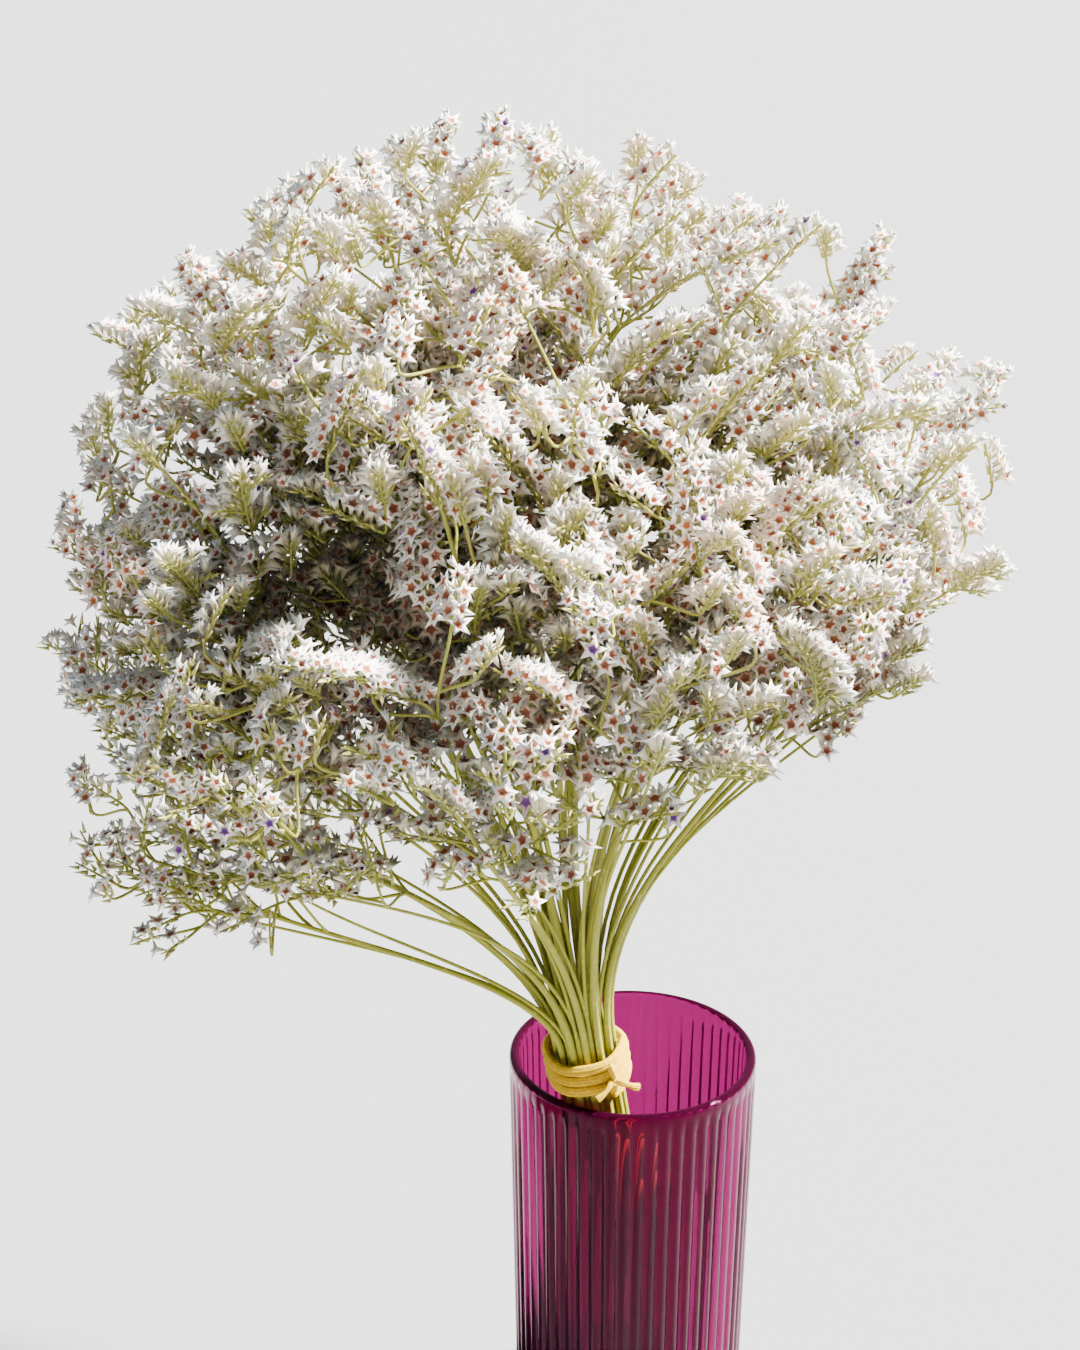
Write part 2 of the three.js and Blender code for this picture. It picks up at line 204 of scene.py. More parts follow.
def along_curve(curve, count):
    """Points at even steps along a cubic Bezier curve given as four corner points."""
    t = (np.arange(count + 1) / count)[:, None]
    k = 1 - t
    return k**3 * curve[0] + 3 * k**2 * t * curve[1] + 3 * k * t**2 * curve[2] + t**3 * curve[3]


# The bundle's own frame: its axis, two directions across it and its middle at rim height.
BEARING = math.radians(BUNDLE.bearing)
LEAN = math.radians(BUNDLE.lean)
AXIS = aim(BEARING, LEAN)
ACROSS = squared(np.array([1.0, 0, 0]), AXIS)
ASIDE = np.cross(AXIS, ACROSS)
RIM_MIDDLE = aim(BEARING, math.pi / 2) * BUNDLE.rim_offset
RIM_MIDDLE[2] = VASE.height
TIE_INNER = RINGS.outer + STEM.foot_radius + CLEARANCE
TIE_OUTER = TIE_INNER + TIE.thickness + TIE.bulge
TIE_MIDDLE = CLEARANCE / math.cos(LEAN) + TIE_OUTER * math.tan(LEAN) + TIE.height / 2
CROWN_FOOT = RIM_MIDDLE + AXIS * (TIE_MIDDLE + TIE.height / 2)
FOOT_HEIGHT = VASE.floor + CLEARANCE + STEM.foot_rise
FOOT_DISTANCE = -(VASE.height - FOOT_HEIGHT) / math.cos(LEAN)


def plant_stems():
    """The stems, from the vase's floor through the tie to the tip of each spray."""
    stems = []
    for sprays, ring, turn in (
        (OUTER_SPRAYS, RINGS.outer, RINGS.outer_turn),
        (INNER_SPRAYS, RINGS.inner, RINGS.inner_turn),
    ):
        for i, (bearing, lean, reach) in enumerate(sprays):
            angle = math.radians(turn) + i * 2 * math.pi / len(sprays)
            offset = ACROSS * (math.cos(angle) * ring) + ASIDE * (math.sin(angle) * ring)
            foot = RIM_MIDDLE + AXIS * FOOT_DISTANCE + offset * BUNDLE.foot_spread
            foot[2] = FOOT_HEIGHT
            collar = CROWN_FOOT + offset
            outward = aim(math.radians(bearing), math.radians(lean))
            length = reach - HEAD.pitch * STEM.end_pitches
            tip = CROWN_FOOT + outward * length
            rise = collar + AXIS * (length * STEM.rise * outward[2])
            arrive = tip - outward * (length * STEM.arrive)
            curve = np.array([collar, rise, arrive, tip])
            stems.append({"outward": outward, "reach": reach, "foot": foot, "curve": curve})
    return stems


def balls_along(points, step):
    """Points along a line of points, close enough for balls on them to stand for it."""
    places = []
    for a, b in zip(points[:-1], points[1:]):
        count = max(1, math.ceil(length_of(b - a) / step))
        places += [a + (b - a) * (j / count) for j in range(count)]
    return np.array([*places, points[-1]])


def head_length(head):
    return head["stars"] * head["size"] * HEAD.pitch


def balls_of_head(head):
    start = head["base"] + head["facing"] * BALL.head_lift
    return balls_along([start, start + head["along"] * head_length(head)], BALL.head_step)


def balls_of_twig(head):
    curve = head["curve"]
    steps = 3 if length_of(curve[3] - curve[0]) > TWIG.longest else 2
    return balls_along(along_curve(curve, steps), BALL.twig_step)


def middle_of(head):
    middle = head["base"] + head["along"] * (head_length(head) / 2)
    return middle + head["facing"] * (HEAD.star_height / 2)


def facing_of(along, outward):
    """The upper side of a spike that runs along: square to it, outwards and up."""
    return squared(outward + UP * POINTING.facing, along)


def branch_nodes(curve, count):
    points = along_curve(curve, count)
    steps = np.diff(points, axis=0)
    return np.hstack([points[1:], steps / np.linalg.norm(steps, axis=1)[:, None]])


def add_nodes(grown, curve):
    """Lets further twigs leave the middle of this one."""
    grown["nodes"] = np.vstack([grown["nodes"], branch_nodes(curve, NODES.of_twig)[1:-1]])


def twig_to(base, along, nodes):
    """The twig's curve from the branch that is nearest and leaves at the best angle, or None."""
    reach = base - nodes[:, :3]
    distance = np.linalg.norm(reach, axis=1)
    angle = np.arccos(np.clip((reach * nodes[:, 3:]).sum(1) / distance, -1, 1))
    cost = distance + TWIG.angle_price * np.abs(angle - TWIG.angle)
    cost[(distance <= TWIG.shortest) | (angle >= TWIG.widest)] = np.inf
    best = int(np.argmin(cost))
    if not np.isfinite(cost[best]):
        return None
    start, heading, far = nodes[best, :3], nodes[best, 3:], distance[best]
    leave = start + (base - start) * TWIG_CURVE.leave + heading * (far * TWIG_CURVE.sweep)
    arrive = base - along * (far * TWIG_CURVE.arrive)
    return np.array([start, leave, arrive, base])


def room_between(places, radius, others, other_radii):
    if not len(others):
        return math.inf
    gaps = np.linalg.norm(places[:, None] - others[None], axis=2) - radius - other_radii
    return gaps.min()


def crown_reach(angles, stems):
    """How far the crown reaches where the stems are at these angles."""
    weights = np.exp(-((angles / CROWN.blend) ** 2))
    return weights @ [stem["reach"] for stem in stems] / weights.sum()


def over_dome(share, bearing, stems):
    """A wish for a head at this share of the dome's area, its angle from its stem and its reach."""
    lean = math.acos(1 - share * (1 - math.cos(math.radians(CROWN.edge))))
    outward = aim(bearing, lean)
    angles = np.array([angle_between(outward, stem["outward"]) for stem in stems])
    spray = int(np.argmin(angles))
    away = squared(outward - stems[spray]["outward"], outward)
    wish = {"spray": spray, "outward": outward, "away": away}
    return wish, angles[spray], crown_reach(angles, stems)


class Held:
    """The balls that stand for what has grown so far, with the spray that each belongs to."""

    def __init__(self):
        self.places = np.empty((0, 3))
        self.radii = np.empty(0)
        self.sprays = np.empty(0, int)

    def add(self, places, radius, spray):
        self.places = np.vstack([self.places, places])
        self.radii = np.append(self.radii, np.full(len(places), radius))
        self.sprays = np.append(self.sprays, np.full(len(places), spray))

    def room(self, places, radius, spray):
        others = self.sprays != spray
        return room_between(places, radius, self.places[others], self.radii[others])


def head_for(wish, tries, nodes):
    """A head as wished for, moved a little further at each try, on a twig of its own."""
    way = wish["turn"] + RETRY.turn * tries
    outward = wish["outward"]
    along = squared(np.array([math.cos(way), math.sin(way), 0]), outward) * POINTING.sideways
    along = along + outward * (wish["rise"] + RETRY.rise * tries)
    along = unit(along + wish["away"] * POINTING.away + UP * POINTING.upward)
    facing = facing_of(along, outward)
    length = wish["stars"] * wish["size"] * HEAD.pitch
    climb = along @ outward
    base = CROWN_FOOT + outward * (wish["full"] - length * climb - RETRY.inward * tries)
    base = base + along * (-length * (1 - climb) / 2)
    curve = twig_to(base, along, nodes)
    if curve is None:
        return None
    head = {key: wish[key] for key in ("spray", "stars", "size")}
    return {**head, "curve": curve, "base": base, "along": along, "facing": facing}


def hangs_low(head, stem):
    middle = middle_of(head) - CROWN_FOOT
    droop = angle_between(middle, UP) - angle_between(stem["outward"], UP)
    return droop > CROWN.droop or length_of(middle) < CROWN.bare


def has_room(head, own, held):
    middle = middle_of(head)
    if any(length_of(middle_of(other) - middle) <= CROWN.spacing for other in own):
        return False
    balls = balls_of_head(head)
    room = held.room(balls, BALL.head, head["spray"])
    if min(room, held.room(balls_of_twig(head), BALL.twig, head["spray"])) <= CLEARANCE:
        return False
    near = np.vstack([balls_of_head(other) for other in own])
    return room_between(balls, BALL.head, near, BALL.head) > -CROWN.overlap


def grow_crown(stems):
    """Grows the heads that the solids have, over a dome, in sprays kept out of each other."""
    random = seeded(CROWN.seed)
    held = Held()
    sprays = []
    for i, stem in enumerate(stems):
        line = along_curve(stem["curve"], STEM.crown_steps)
        held.add(balls_along(line, BALL.stem_step), BALL.stem, i)
    for i, stem in enumerate(stems):
        before, end = along_curve(stem["curve"], STEM.crown_steps)[-2:]
        along = unit(end - before)
        head = {"spray": i, "stars": HEAD.stars, "size": 1, "base": end, "along": along}
        head["facing"] = squared(TIP_FACING, along)
        held.add(balls_of_head(head), BALL.head, i)
        nodes = branch_nodes(stem["curve"], NODES.of_stem)[NODES.bare_stem :]
        sprays.append({"stem": stem, "heads": [head], "nodes": nodes})
    for k in range(CROWN.tries):
        wish, angle, surface = over_dome((k + 0.5) / CROWN.tries, k * GOLDEN_ANGLE, stems)
        inner = next(random) < CROWN.inner_share
        sunk = (CROWN.inner_depth if inner else CROWN.depth) * next(random)
        kept = next(random) < (surface / CROWN.fullest) ** 2
        if not kept or angle > CROWN.spread:
            continue
        wish["full"] = surface * (1 - sunk)
        wish["turn"] = 2 * math.pi * next(random)
        wish["stars"] = HEAD.long_stars if next(random) < CROWN.long_share else HEAD.stars
        wish["size"] = CROWN.smallest + CROWN.size_range * next(random)
        wish["rise"] = POINTING.outward + POINTING.outward_range * next(random)
        spray = wish["spray"]
        own = sprays[spray]
        for tries in range(RETRY.most):
            head = head_for(wish, tries, own["nodes"])
            if head is None or hangs_low(head, stems[spray]):
                continue
            if not has_room(head, own["heads"], held):
                continue
            own["heads"].append(head)
            add_nodes(own, head["curve"])
            held.add(balls_of_head(head), BALL.head, spray)
            held.add(balls_of_twig(head), BALL.twig, spray)
            break
    return sprays


# End of growth. What follows is finer than the solids.
FILL = Values(
    seed=7,
    tries=8000,
    phase=0.37,
    deepest=0.34,
    ball=4.2,
    lift=2.5,
    overlap=3.2,
    smallest=0.85,
    size_range=0.5,
    most=4,
    spread=0.24,
    droop=0.05,
    bare=104,
    tip_room=2,
)
# A fine spike: its florets stand in three rows on the upper side, the most upright at its foot.
SPIKE = Values(
    pitch=1.25,
    first=1.0,
    rows=(-1, 1, 0),
    splay=38,
    lean=12,
    tip_lean=42,
    row_gap=0.5,
    ridge=0.3,
    jitter=11,
    smallest=0.86,
    size_range=0.26,
    tip_size=0.72,
    closed_from=0.93,
    open=0.45,
    half_open=0.85,
    dullest=0.3,
    line_points=4,
)
# Short spikes in two ranks along the branches, like the teeth of a comb.
COMB = Values(
    seed=29,
    points=24,
    end_gap=2,
    step=5.2,
    stem_from=0.42,
    twig_from=0.15,
    out=47,
    jitter=16,
    outward=0.25,
    stalk=2.0,
    stalk_range=2.5,
    length=9.0,
    range=6.0,
    ball=4.0,
    inset=2,
    outset=1,
    overlap=2.6,
    bend=0.014,
    tip_room=2,
    height=3,
)
# The solids' heads as balls, as slim as their fine spikes are.
SLIM_BALL = 5.8
# How far a spike's tip may pass the solids' box.
BOX_MARGIN = 3.0
SIDE_SPIKE = Values(
    begin=0.12,
    step=7.5,
    out=48,
    length=8.5,
    range=4,
    bend=0.02,
    bare=2.5,
)
# Scales clasp the spike: their splay from its upper side, and how far they lie along it.
BRACT = Values(splays=(75, 125), lean=62, foot=0.9, smallest=0.72, size_range=0.3)
SCALE = Values(foot=0.9, tip=4.9, radius=0.8, flatten=0.45, bend=0.5)
# Radii of the fine stalks, and of the stems as shares of the solids' radii.
STALK = Values(
    corners=5,
    spike_foot=0.45,
    spike_tip=0.25,
    twig_foot=0.54,
    twig_tip=0.38,
    twig_points=8,
    filler_share=0.8,
    stem_foot_share=0.85,
    stem_tip_share=0.6,
    stem_points=24,
    bare_points=4,
)
# Thin stems beside each spray's own, which end inside the crown.
COMPANIONS = Values(
    seed=5,
    count=2,
    beside=1.9,
    inward=1.3,
    straight=6,
    spread=13,
    share=0.9,
    share_range=0.2,
    length=17,
    foot=0.75,
    tip=0.4,
)
# The lowest sprays are younger: their florets are smaller, fewer and more of them closed.
YOUNG = Values(lean=44, size=0.87, buds=0.34, gaps=0.34)
GROWN = Values(size=1, buds=0.04, gaps=0)
# Florets and bracts between shallow and deep, shares of the crown's reach, get a painted shade, and
# the florets get larger.
# Those nearer to the crown's foot than under get part of the painted light back.
INSIDE = Values(
    shallow=0.08,
    deep=0.29,
    least=0.1,
    swell=0.25,
    under=138,
    under_band=28,
    under_fresh=0.45,
)
# The open fringe under the crown has fewer florets and scales.
LOW = Values(tilt=22, below=98, band=30, gaps=0.6, bract_gaps=0.35)
FLORET_SHAPES = [
    {"tip": 3.3, "notch": 1.45, "rise": 0.35, "throat": 0.8},
    {"tip": 3.15, "notch": 1.35, "rise": 1.05, "throat": 0.75},
    {"tip": 2.7, "notch": 1.2, "rise": 1.6, "throat": 0.65},
    {"tip": 1.6, "notch": 0.85, "rise": 2.1, "throat": 0.45},
]
FLORET = Values(
    lobes=5,
    height=4.2,
    neck=3.2,
    neck_radius=0.85,
    notch_drop=0.3,
    throat_drop=0.35,
    pit=0.8,
    throat_mark=0.75,
    neck_mark=0.45,
)


def rotated(v, axis, angle):
    """v turned about a unit axis."""
    turned = v * math.cos(angle) + np.cross(axis, v) * math.sin(angle)
    return turned + axis * ((axis @ v) * (1 - math.cos(angle)))


def in_box(place):
    """True where a spike's tip stays close to the solids' box."""
    low = np.array(solid_box[0]) / MM - BOX_MARGIN
    high = np.array(solid_box[1]) / MM + BOX_MARGIN
    return bool((place > low).all() and (place < high).all())


def over_edge(place, stem):
    """True where a spike's middle is above the crown's open underside."""
    way = place - CROWN_FOOT
    droop = angle_between(way, UP) - angle_between(stem["outward"], UP)
    return droop < FILL.droop and length_of(way) > FILL.bare


def comb_branch(curve, begin, spray, sprays, held, random):
    """Sets short spikes along one branch, to its left and right in turn, where there is room."""
    count = COMB.points
    points = along_curve(curve, count)
    steps = np.linalg.norm(np.diff(points, axis=0), axis=1)
    travelled = np.concatenate([[0], np.cumsum(steps)])
    distance = travelled[-1] * begin + COMB.step * next(random)
    turn = either_way(random)
    while distance < travelled[-1] - COMB.end_gap:
        i = min(int(np.searchsorted(travelled, distance)) - 1, count - 1)
        heading = unit(points[i + 1] - points[i])
        place = points[i] + heading * (distance - travelled[i])
        outward = unit(place - CROWN_FOOT)
        lateral = np.cross(facing_of(heading, outward), heading)
        out = math.radians(COMB.out + COMB.jitter * (2 * next(random) - 1))
        along = unit(between(heading, lateral * turn, out) + outward * COMB.outward)
        facing = facing_of(along, outward)
        first = COMB.stalk + COMB.stalk_range * next(random)
        length = first + COMB.length + COMB.range * next(random)
        start = place + facing * FILL.lift
        ends = [start + along * (first + COMB.inset), start + along * (length - COMB.outset)]
        balls = balls_along(ends, BALL.head_step)
        clear = room_between(balls, COMB.ball, held.places, held.radii) > -COMB.overlap
        middle = place + along * (length / 2)
        open_side = over_edge(middle, sprays[spray]["stem"])
        tip = place + along * (length + COMB.tip_room) + facing * COMB.height
        if clear and open_side and in_box(tip):
            line = BentLine(place, along, facing, COMB.bend)
            sprays[spray]["teeth"].append({"line": line, "first": first, "length": length})
            held.add(balls, COMB.ball, spray)
        turn = -turn
        distance += uneven(COMB.step, random)


def comb_crown(sprays):
    """Sets short spikes along every branch."""
    random = seeded(COMB.seed)
    held = Held()
    for i, spray in enumerate(sprays):
        spray["teeth"] = []
        for head in spray["heads"]:
            held.add(balls_of_head(head), SLIM_BALL, i)
    for i, spray in enumerate(sprays):
        for head in spray["heads"]:
            if "curve" in head:
                comb_branch(head["curve"], COMB.twig_from, i, sprays, held, random)
        comb_branch(spray["stem"]["curve"], COMB.stem_from, i, sprays, held, random)
    return held


def fill_crown(stems, sprays, held):
    """Grows spikes on twigs of their own into the gaps that are left near the crown's surface."""
    random = seeded(FILL.seed)
    for spray in sprays:
        spray["fillers"] = []
    for k in range(FILL.tries):
        place = k + FILL.phase
        wish, angle, surface = over_dome(place / FILL.tries, place * GOLDEN_ANGLE, stems)
        wish["full"] = surface * (1 - FILL.deepest * next(random))
        wish["turn"] = 2 * math.pi * next(random)
        wish["stars"] = 1
        wish["size"] = FILL.smallest + FILL.size_range * next(random)
        wish["rise"] = POINTING.outward + POINTING.outward_range * next(random)
        if angle > FILL.spread:
            continue
        spray = wish["spray"]
        own = sprays[spray]
        for tries in range(FILL.most):
            head = head_for(wish, tries, own["nodes"])
            if head is None:
                continue
            start = head["base"] + head["facing"] * FILL.lift
            end = start + head["along"] * head_length(head)
            balls = balls_along([start, end], BALL.head_step)
            clear = room_between(balls, FILL.ball, held.places, held.radii) > -FILL.overlap
            open_side = over_edge((start + end) / 2, stems[spray])
            tip = end + head["along"] * FILL.tip_room + head["facing"] * FILL.tip_room
            if clear and open_side and in_box(tip):
                own["fillers"].append(head)
                add_nodes(own, head["curve"])
                held.add(balls, FILL.ball, spray)
                break


class BentLine:
    """A line that bends away from its facing side, as a spike does."""

    def __init__(self, base, along, facing, bend):
        self.base, self.along, self.facing, self.bend = base, along, facing, bend
        self.side = np.cross(facing, along)

    def at(self, x, y=0.0, z=0.0):
        curl = 1 / self.bend
        turn = x * self.bend
        place = self.base + self.along * ((curl + z) * math.sin(turn)) + self.side * y
        return place + self.facing * ((curl + z) * math.cos(turn) - curl)

    def ways(self, x):
        """The directions along the line and up from it."""
        turn = x * self.bend
        along = self.along * math.cos(turn) - self.facing * math.sin(turn)
        return along, self.along * math.sin(turn) + self.facing * math.cos(turn)


# Above this, a direction is too upright to be crossed with the upright one.
UPRIGHT = 0.9


def axes_for(up_way, spin, size):
    """The turned and sized axes of a shape that stands along up_way."""
    helper = UP if abs(up_way[2]) < UPRIGHT else np.array([1.0, 0, 0])
    x = rotated(unit(np.cross(helper, up_way)), up_way, spin)
    return np.column_stack([x, np.cross(up_way, x), up_way]) * size


class Spray:
    """The places of one spray's florets and bracts, and the lines of its stalks."""

    def __init__(self, stem, stems):
        self.stems = stems
        young = angle_between(stem["outward"], UP) > math.radians(YOUNG.lean)
        self.age = YOUNG if young else GROWN
        self.florets = [[] for _ in FLORET_SHAPES]
        self.bracts = []
        self.stalks = []

    def painted_light_share(self, place):
        """The painted light at a place: 1 at the crown's surface, 0 deep inside it, and partly lit
        again near its underside.
        """
        way = place - CROWN_FOOT
        angles = np.array([angle_between(way, stem["outward"]) for stem in self.stems])
        depth = 1 - length_of(way) / crown_reach(angles, self.stems)
        inside = min(1, max(0, (depth - INSIDE.shallow) / (INSIDE.deep - INSIDE.shallow)))
        under = min(1, max(0, (INSIDE.under - length_of(way)) / INSIDE.under_band))
        return max(1 - inside, INSIDE.under_fresh * under)

    def lowness(self, place):
        """1 in the open fringe under the crown, which reaches higher at the front, 0 above it."""
        tilt = math.radians(LOW.tilt)
        height = (place - CROWN_FOOT) @ np.array([0, math.sin(tilt), math.cos(tilt)])
        return min(1, max(0, (LOW.below - height) / LOW.band))

    def add_stalk(self, points, foot_radius, tip_radius):
        self.stalks.append((points, np.linspace(foot_radius, tip_radius, len(points))))

    def add_twig(self, curve, foot_radius):
        self.add_stalk(along_curve(curve, STALK.twig_points), foot_radius, STALK.twig_tip)


def shade_of(tone):
    return SPIKE.dullest + (1 - SPIKE.dullest) * tone


def add_spike(spray, line, length, random, first=0.0):
    """A spike's stalk, its florets in rows and a bract behind each."""
    count = max(3, int((length - SPIKE.first - first) / SPIKE.pitch))
    jitter = math.radians(SPIKE.jitter)
    middle = line.at(length / 2)
    lit_share, low = spray.painted_light_share(middle), spray.lowness(middle)
    # Painted shade: the random tone of florets and bracts is scaled down deep inside the crown.
    light = INSIDE.least + (1 - INSIDE.least) * lit_share
    gaps = spray.age.gaps + (LOW.gaps - spray.age.gaps) * low
    for i in range(count):
        x = first + SPIKE.first + i * SPIKE.pitch
        far = i / (count - 1)
        along, up_way = line.ways(x)
        row = SPIKE.rows[i % len(SPIKE.rows)]
        splay = math.radians(SPIKE.splay) * row + jitter * (next(random) * 2 - 1)
        lean = math.radians(SPIKE.lean + (SPIKE.tip_lean - SPIKE.lean) * far**3)
        lean += jitter * (next(random) * 2 - 1)
        way = between(between(up_way, line.side, splay), along, lean)
        foot = line.at(x, row * SPIKE.row_gap, SPIKE.ridge)
        size = SPIKE.smallest + SPIKE.size_range * next(random)
        size *= 1 + (SPIKE.tip_size - 1) * far**4
        closed = far > SPIKE.closed_from or next(random) < spray.age.buds
        openness = next(random)
        if closed:
            shape = 3
        else:
            shape = 0 if openness < SPIKE.open else 1 if openness < SPIKE.half_open else 2
        size *= spray.age.size * (1 + INSIDE.swell * (1 - lit_share))
        axes = axes_for(way, 2 * math.pi * next(random), size)
        tone_and_shade = shade_of(next(random)) * light
        kind = next(random)
        if openness < 1 - gaps:
            spray.florets[shape].append((foot, axes, tone_and_shade, kind))
        bract_row = 1 if i % 2 else -1
        splay = BRACT.splays[i // 2 % 2] + SPIKE.jitter * (next(random) - 0.5)
        splay = math.radians(splay) * bract_row
        way = between(between(up_way, line.side, splay), along, math.radians(BRACT.lean))
        size = BRACT.smallest + BRACT.size_range * next(random)
        inner = squared(up_way, way)
        axes = np.column_stack([np.cross(inner, way), inner, way]) * size
        place = line.at(x - BRACT.foot, bract_row * SPIKE.row_gap, 0)
        tone_and_shade = shade_of(next(random)) * light
        if openness > LOW.bract_gaps * low:
            spray.bracts.append((place, axes, tone_and_shade, 0.0))
    points = np.array([line.at(x) for x in np.linspace(0, length, SPIKE.line_points)])
    spray.add_stalk(points, STALK.spike_foot, STALK.spike_tip)


def add_head(spray, head, random):
    """A head: its twig, its main spike and short side spikes that widen it."""
    length = head_length(head)
    line = BentLine(head["base"], head["along"], head["facing"], HEAD.bend)
    if "curve" in head:
        spray.add_twig(head["curve"], STALK.twig_foot)
    add_spike(spray, line, length, random)
    turn = either_way(random)
    x = length * SIDE_SPIKE.begin
    while x < length - SIDE_SPIKE.length:
        along, up_way = line.ways(x)
        way = between(along, line.side * turn, math.radians(SIDE_SPIKE.out))
        side_line = BentLine(line.at(x), way, up_way, SIDE_SPIKE.bend)
        reach = SIDE_SPIKE.length + SIDE_SPIKE.range * (next(random) - 0.5)
        add_spike(spray, side_line, reach, random, SIDE_SPIKE.bare)
        turn = -turn
        x += uneven(SIDE_SPIKE.step, random)


def add_filler(spray, head, random):
    line = BentLine(head["base"], head["along"], head["facing"], HEAD.bend)
    spray.add_twig(head["curve"], STALK.twig_foot * STALK.filler_share)
    add_spike(spray, line, head_length(head), random)


def add_companions(spray, points, random):
    """Thin stems that run beside a spray's own and leave it to one side inside the crown."""
    radial = points[STALK.bare_points] - CROWN_FOOT
    inward = -unit(radial - AXIS * (radial @ AXIS))
    beside = np.cross(AXIS, inward)
    for turn in range(COMPANIONS.count):
        side = beside * (COMPANIONS.beside * (1 if turn else -1)) + inward * COMPANIONS.inward
        way = unit(np.array([next(random), next(random), next(random)]) - 0.5) * COMPANIONS.spread
        share = COMPANIONS.share + COMPANIONS.share_range * (next(random) - 0.5)
        count = int(len(points) * share)
        beyond = np.arange(count) - COMPANIONS.straight
        shares = np.clip(beyond / (count - 1 - COMPANIONS.straight), 0, 1)[:, None]
        line = points[:count] + side + way * shares**2
        spray.add_stalk(line, COMPANIONS.foot, COMPANIONS.tip)
        along = unit(line[-1] - line[-2])
        facing = facing_of(along, unit(line[-1] - CROWN_FOOT))
        add_spike(spray, BentLine(line[-1], along, facing, HEAD.bend), COMPANIONS.length, random)


def dress_sprays(stems, sprays):
    random = seeded(CROWN.seed + FILL.seed)
    companion_random = seeded(COMPANIONS.seed)
    dressed = []
    for stem, grown in zip(stems, sprays):
        spray = Spray(stem, stems)
        crown = along_curve(stem["curve"], STALK.stem_points)
        bare = np.linspace(stem["foot"], stem["curve"][0], STALK.bare_points + 1)[:-1]
        points = np.vstack([bare, crown])
        foot_radius = STEM.foot_radius * STALK.stem_foot_share
        spray.add_stalk(points, foot_radius, STEM.tip_radius * STALK.stem_tip_share)
        add_companions(spray, points, companion_random)
        for head in grown["heads"]:
            add_head(spray, head, random)
        for head in grown["fillers"]:
            add_filler(spray, head, random)
        for tooth in grown["teeth"]:
            add_spike(spray, tooth["line"], tooth["length"], random, tooth["first"])
        dressed.append(spray)
    return dressed


# Modelling helpers.


def deselect_all():
    if bpy.context.mode != "OBJECT":
        bpy.ops.object.mode_set(mode="OBJECT")
    bpy.ops.object.select_all(action="DESELECT")


def select_only(obj):
    deselect_all()
    obj.select_set(True)
    bpy.context.view_layer.objects.active = obj


def pick(obj, wanted, kind="VERT"):
    """Selects what wanted(place) is true for at all its vertices, and goes to edit mode."""
    if bpy.context.mode != "OBJECT":
        bpy.ops.object.mode_set(mode="OBJECT")
    mesh = obj.data
    chosen = [bool(wanted(v.co)) for v in mesh.vertices]
    mesh.polygons.foreach_set("select", [False] * len(mesh.polygons))
    mesh.edges.foreach_set("select", [False] * len(mesh.edges))
    mesh.vertices.foreach_set("select", chosen)
    bpy.ops.object.mode_set(mode="EDIT")
    bpy.ops.mesh.select_mode(type="VERT")
    if kind != "VERT":
        bpy.ops.mesh.select_mode(type=kind)


def widen(share, height=0.0):
    """Scales what is selected across the upright axis."""
    bpy.ops.transform.resize(value=(share, share, 1), center_override=(0, 0, height * MM))


def shift(y=0.0, z=0.0):
    bpy.ops.transform.translate(value=(0, y * MM, z * MM))


def add_cone(corners, foot_radius, tip_radius, foot, tip):
    """An upright cone between two heights, selected in edit mode."""
    deselect_all()
    bpy.ops.mesh.primitive_cone_add(
        vertices=corners,
        radius1=foot_radius * MM,
        radius2=tip_radius * MM,
        depth=(tip - foot) * MM,
        end_fill_type="NGON",
        location=(0, 0, (foot + tip) / 2 * MM),
    )
    bpy.ops.object.transform_apply(location=True)
    bpy.ops.object.mode_set(mode="EDIT")
    bpy.ops.mesh.select_all(action="SELECT")
    return bpy.context.object


def finish_edit():
    """Turns all faces of the active object outwards and leaves edit mode."""
    bpy.ops.object.mode_set(mode="EDIT")
    bpy.ops.mesh.select_all(action="SELECT")
    bpy.ops.mesh.normals_make_consistent(inside=False)
    bpy.ops.object.mode_set(mode="OBJECT")


def shape_of(obj, marks):
    """The points, triangles and marks of a modelled shape, which is then removed."""
    bpy.ops.object.mode_set(mode="EDIT")
    bpy.ops.mesh.select_all(action="SELECT")
    bpy.ops.mesh.quads_convert_to_tris()
    finish_edit()
    points = np.array([v.co[:] for v in obj.data.vertices]) / MM
    faces = np.array([p.vertices[:] for p in obj.data.polygons])
    bpy.data.objects.remove(obj)
    return {"points": points, "faces": faces, "marks": np.array([marks(p) for p in points])}


